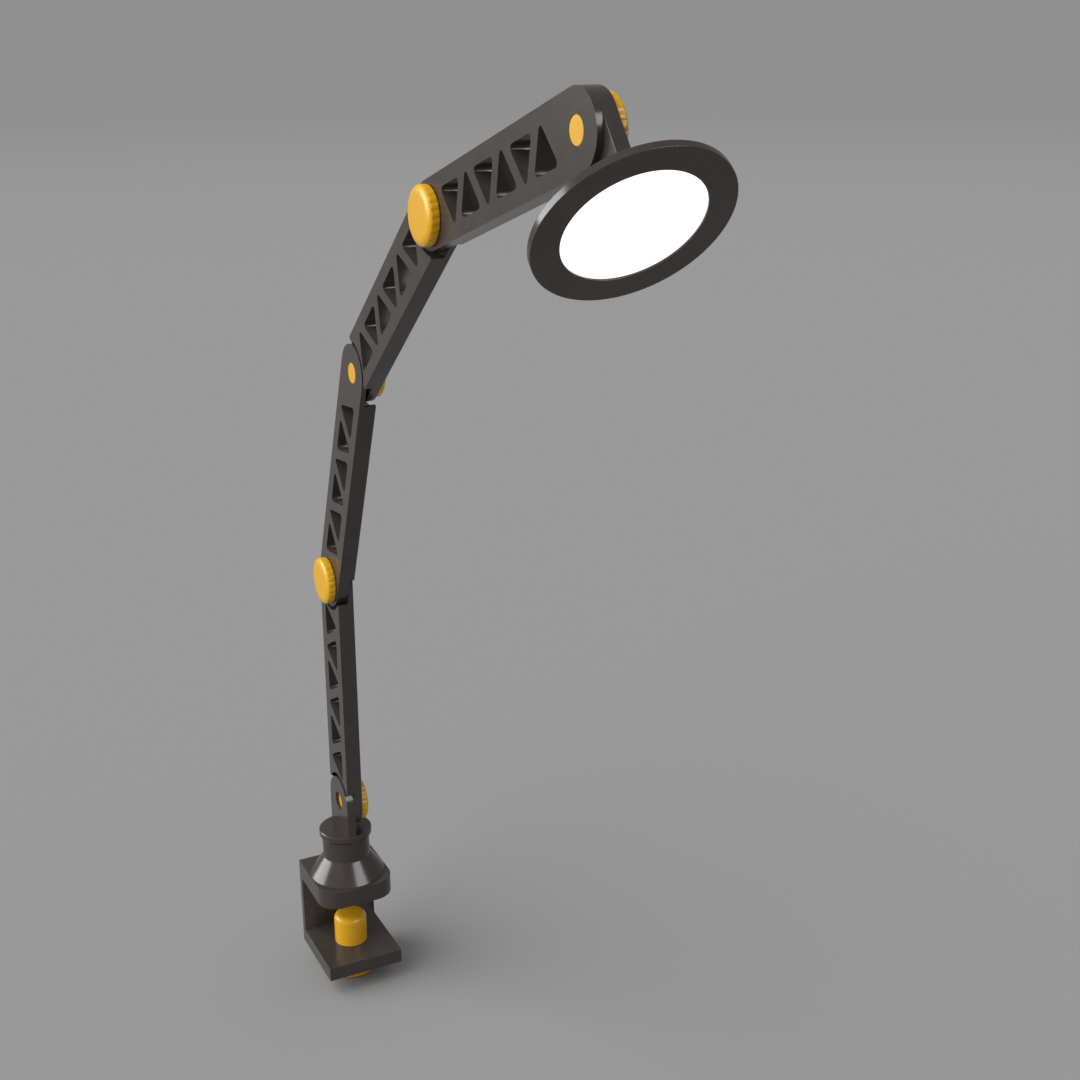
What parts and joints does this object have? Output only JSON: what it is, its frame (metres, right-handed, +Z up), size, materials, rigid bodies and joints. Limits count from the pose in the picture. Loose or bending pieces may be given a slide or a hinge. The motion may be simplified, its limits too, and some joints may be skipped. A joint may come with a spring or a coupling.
{
  "type": "clamp-on desk lamp",
  "caption": "Clamp-on desk lamp: truss arms chained on thumb-screw hinges over a swivel foot, with a round tilting LED head.",
  "frame": {"origin": "on the swivel axis, at the jaw's underside, where the clamp rests on the desk top", "axes": "+Z up along the swivel axis, +X the way the arms reach, +Y to the side of the arms that carries the lowest thumb screw"},
  "size_m": [0.436, 0.084, 0.6036],
  "materials": {
    "charcoal_plastic": "printed, dark warm charcoal, satin gloss",
    "yellow_plastic": "printed, warm yellow, satin",
    "screw_steel": "zinc plated",
    "opal_diffuser": "opal acrylic, lit from behind",
    "white_reflector": "white moulded",
    "board_aluminium": "white solder mask on an aluminium core",
    "led_package": "phosphor under clear resin",
    "circuit_board": "green solder mask",
    "socket_black": "moulded black"
  },
  "bodies": {
    "clamp": {"clamp_frame": "charcoal_plastic", "collar": "charcoal_plastic", "collar_screws": "screw_steel"},
    "swivel": {"swivel_cap": "charcoal_plastic", "swivel_washer": "charcoal_plastic", "swivel_nut": "charcoal_plastic"},
    "pad": {"pressure_pad": "yellow_plastic"},
    "screw": {"clamp_screw": "yellow_plastic"},
    "lower_arm": {"arm_1": "charcoal_plastic"},
    "second_arm": {"arm_2": "charcoal_plastic"},
    "third_arm": {"arm_3": "charcoal_plastic", "hinge_spacer": "charcoal_plastic"},
    "upper_arm": {"arm_4": "charcoal_plastic"},
    "head": {"head_bracket": "charcoal_plastic", "bracket_screws": "screw_steel", "lamp_housing": "charcoal_plastic", "lamp_bezel": "charcoal_plastic", "diffuser": "opal_diffuser", "reflector": "white_reflector", "led_board": "board_aluminium", "led_chips": "led_package", "driver_board": "circuit_board", "power_inlet": "socket_black"},
    "knob_1": {"hinge_knob_1": "yellow_plastic"},
    "knob_2": {"hinge_knob_2": "yellow_plastic"},
    "knob_3": {"hinge_knob_3": "yellow_plastic"},
    "knob_4": {"hinge_knob_4": "yellow_plastic"},
    "knob_5": {"hinge_knob_5": "yellow_plastic"}
  },
  "joints": [
    {"name": "base_swivel", "type": "hinge", "parent": "clamp", "child": "swivel", "pos_m": [0, 0, 0.035], "axis": [0, 0, 1], "range_deg": [-175, 175]},
    {"name": "lower_hinge", "type": "hinge", "parent": "swivel", "child": "lower_arm", "pos_m": [0, 0.002, 0.0665], "axis": [0, 1, 0], "range_deg": [-55, 55]},
    {"name": "second_hinge", "type": "hinge", "parent": "lower_arm", "child": "second_arm", "pos_m": [0.00279, 0.002, 0.22648], "axis": [0, 1, 0], "range_deg": [-90, 45]},
    {"name": "third_hinge", "type": "hinge", "parent": "second_arm", "child": "third_arm", "pos_m": [0.06608, 0.002, 0.37343], "axis": [0, 1, 0], "range_deg": [-95, 40]},
    {"name": "upper_hinge", "type": "hinge", "parent": "third_arm", "child": "upper_arm", "pos_m": [0.18972, 0.002, 0.47498], "axis": [0, 1, 0], "range_deg": [-90, 45]},
    {"name": "head_tilt", "type": "hinge", "parent": "upper_arm", "child": "head", "pos_m": [0.34248, 0.002, 0.52256], "axis": [0, 1, 0], "range_deg": [-135, 20]},
    {"name": "clamp_travel", "type": "slide", "parent": "clamp", "child": "pad", "axis": [0, 0, 1], "range_m": [-0.02, 0.0018]},
    {"name": "clamp_turn", "type": "hinge", "parent": "pad", "child": "screw", "pos_m": [0, 0, -0.045], "axis": [0, 0, 1], "range_deg": [-1820, 170]},
    {"name": "knob_1_turn", "type": "hinge", "parent": "swivel", "child": "knob_1", "pos_m": [0, 0.002, 0.0665], "axis": [0, 1, 0], "range_deg": [0, 360]},
    {"name": "knob_2_turn", "type": "hinge", "parent": "lower_arm", "child": "knob_2", "pos_m": [0.00279, 0.002, 0.22648], "axis": [0, -1, 0], "range_deg": [0, 360]},
    {"name": "knob_3_turn", "type": "hinge", "parent": "second_arm", "child": "knob_3", "pos_m": [0.06608, 0.002, 0.37343], "axis": [0, 1, 0], "range_deg": [0, 360]},
    {"name": "knob_4_turn", "type": "hinge", "parent": "third_arm", "child": "knob_4", "pos_m": [0.18972, 0.002, 0.47498], "axis": [0, -1, 0], "range_deg": [0, 360]},
    {"name": "knob_5_turn", "type": "hinge", "parent": "upper_arm", "child": "knob_5", "pos_m": [0.34248, 0.002, 0.52256], "axis": [0, 1, 0], "range_deg": [0, 360]}
  ],
  "couplings": [
    {"joint": "clamp_turn", "follows": "clamp_travel", "rad_per_m": 1570.8}
  ]
}
